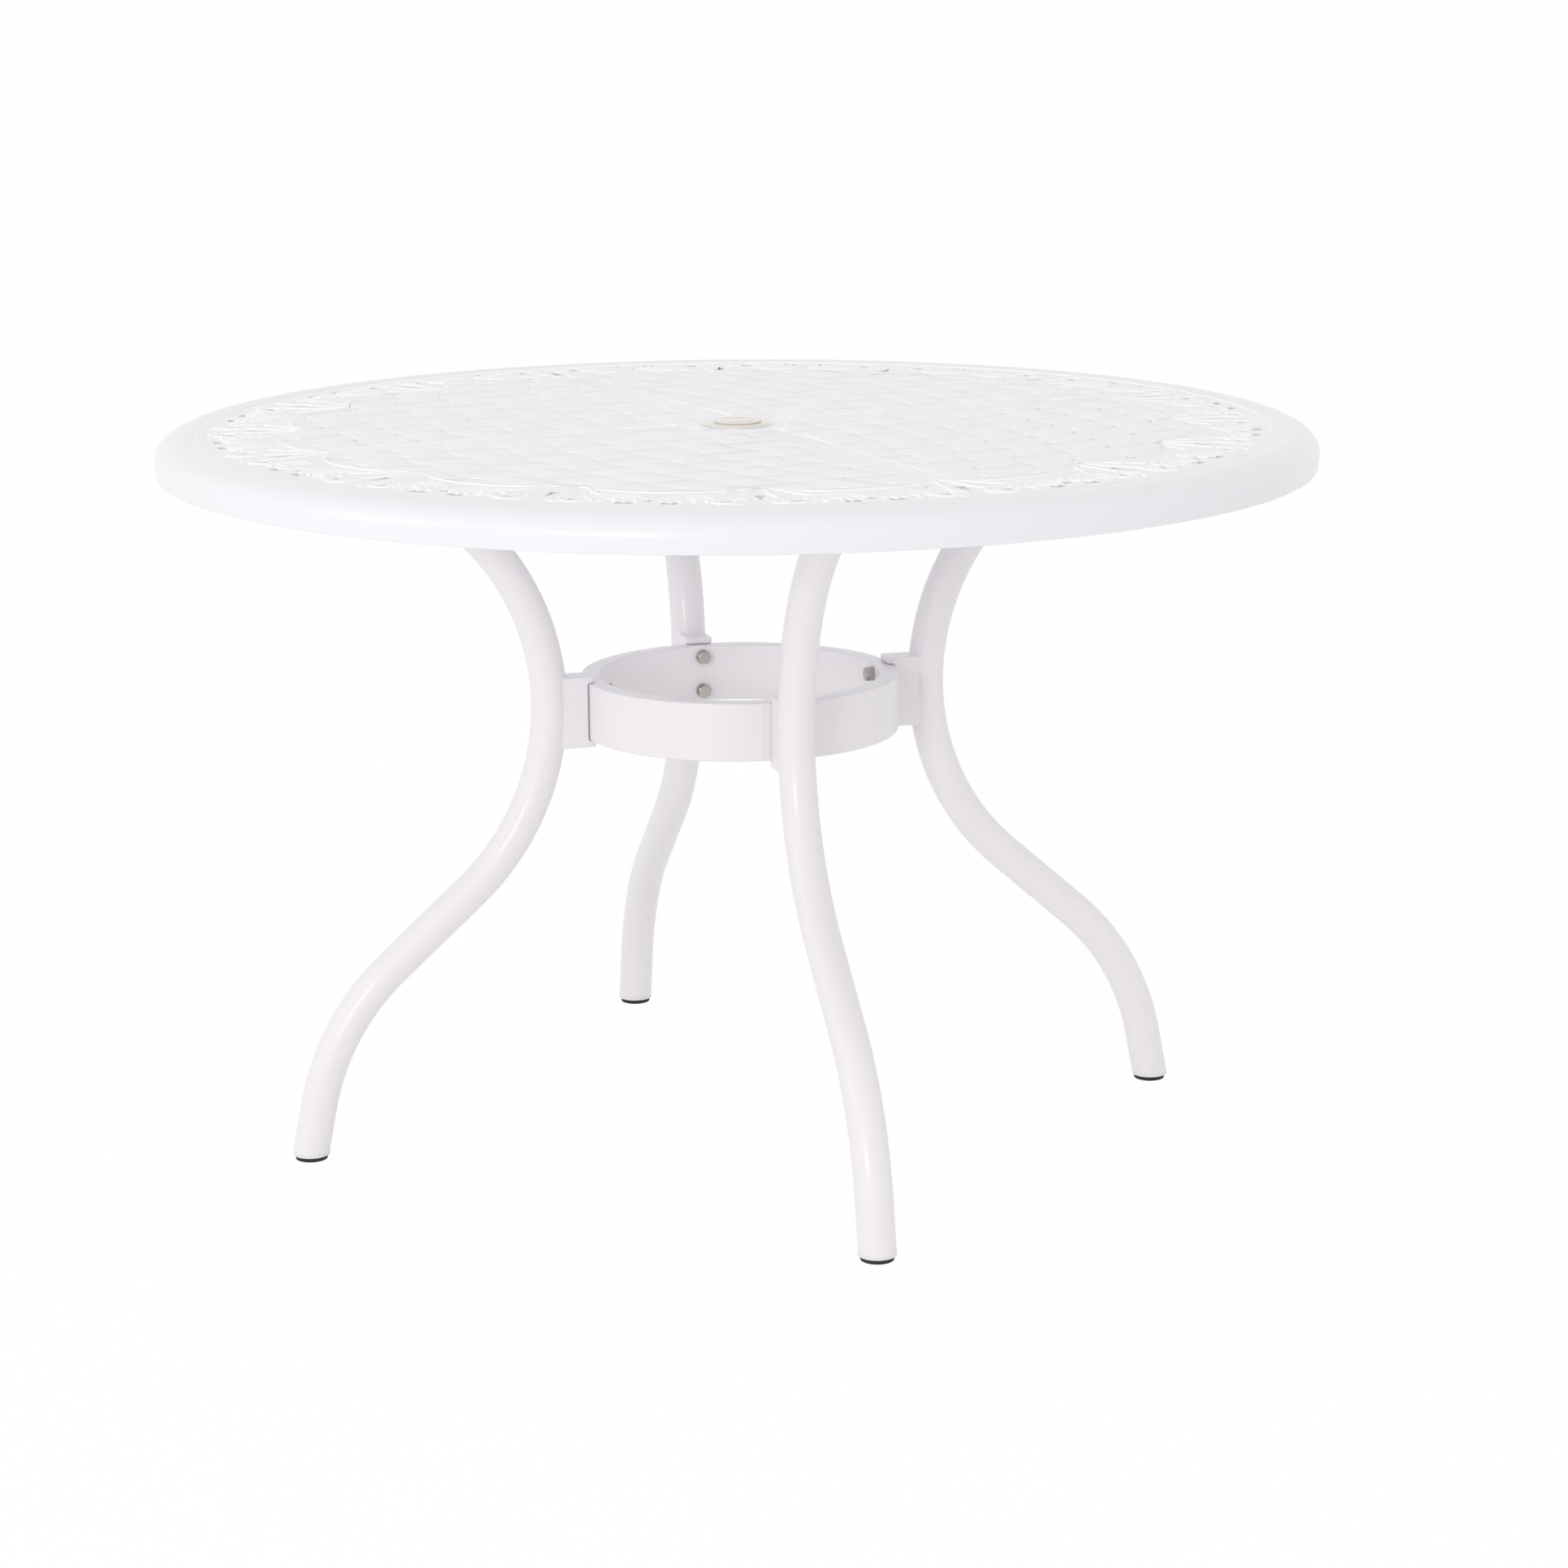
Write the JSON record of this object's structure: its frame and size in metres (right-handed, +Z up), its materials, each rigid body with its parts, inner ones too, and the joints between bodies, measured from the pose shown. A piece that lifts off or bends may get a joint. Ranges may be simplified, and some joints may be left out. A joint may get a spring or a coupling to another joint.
{
  "type": "umbrella table",
  "caption": "Round cast patio table with a woven top and scroll border, an umbrella hole with ring and cap, bent tube legs, a brace ring and levelling feet.",
  "frame": {"origin": "on the floor under the centre of the round top", "axes": "+Z up through the umbrella hole; the legs stand on the diagonals, midway between +X, +Y, -X and -Y"},
  "size_m": [1.2127, 1.2128, 0.7661],
  "materials": {
    "white_casting": "smooth white powder coat on cast metal",
    "white_frame": "smooth white powder coat on bent tube and brackets",
    "clear_plastic": "translucent moulded plastic, faintly yellow",
    "fastener_steel": "plain stainless steel",
    "white_insert": "white moulded plastic",
    "foot_rubber": "black moulded plastic with a knurled edge"
  },
  "bodies": {
    "table": {"top_rim": "white_casting", "hub": "white_casting", "top_casting_1": "white_casting", "top_casting_2": "white_casting", "top_casting_3": "white_casting", "top_casting_4": "white_casting", "leg_1": "white_frame", "leg_2": "white_frame", "leg_3": "white_frame", "leg_4": "white_frame", "leg_plate_1": "white_frame", "leg_plate_2": "white_frame", "leg_plate_3": "white_frame", "leg_plate_4": "white_frame", "saddle_1": "white_frame", "saddle_2": "white_frame", "saddle_3": "white_frame", "saddle_4": "white_frame", "brace_ring": "white_frame", "umbrella_ring": "clear_plastic", "top_bolts": "fastener_steel", "top_washers": "fastener_steel", "ring_bolts": "fastener_steel", "ring_flat_washers": "fastener_steel", "ring_spring_washers": "fastener_steel", "foot_insert_1": "white_insert", "foot_insert_2": "white_insert", "foot_insert_3": "white_insert", "foot_insert_4": "white_insert"},
    "cap": {"umbrella_cap": "clear_plastic"},
    "foot_1": {"levelling_foot_1": "foot_rubber"},
    "foot_2": {"levelling_foot_2": "foot_rubber"},
    "foot_3": {"levelling_foot_3": "foot_rubber"},
    "foot_4": {"levelling_foot_4": "foot_rubber"}
  },
  "joints": [
    {"name": "cap_lift", "type": "slide", "parent": "table", "child": "cap", "axis": [0, 0, 1], "range_m": [0, 0.04]},
    {"name": "foot_screw_1", "type": "slide", "parent": "table", "child": "foot_1", "axis": [0, 0, -1], "range_m": [0, 0.008]},
    {"name": "foot_screw_2", "type": "slide", "parent": "table", "child": "foot_2", "axis": [0, 0, -1], "range_m": [0, 0.008]},
    {"name": "foot_screw_3", "type": "slide", "parent": "table", "child": "foot_3", "axis": [0, 0, -1], "range_m": [0, 0.008]},
    {"name": "foot_screw_4", "type": "slide", "parent": "table", "child": "foot_4", "axis": [0, 0, -1], "range_m": [0, 0.008]}
  ]
}
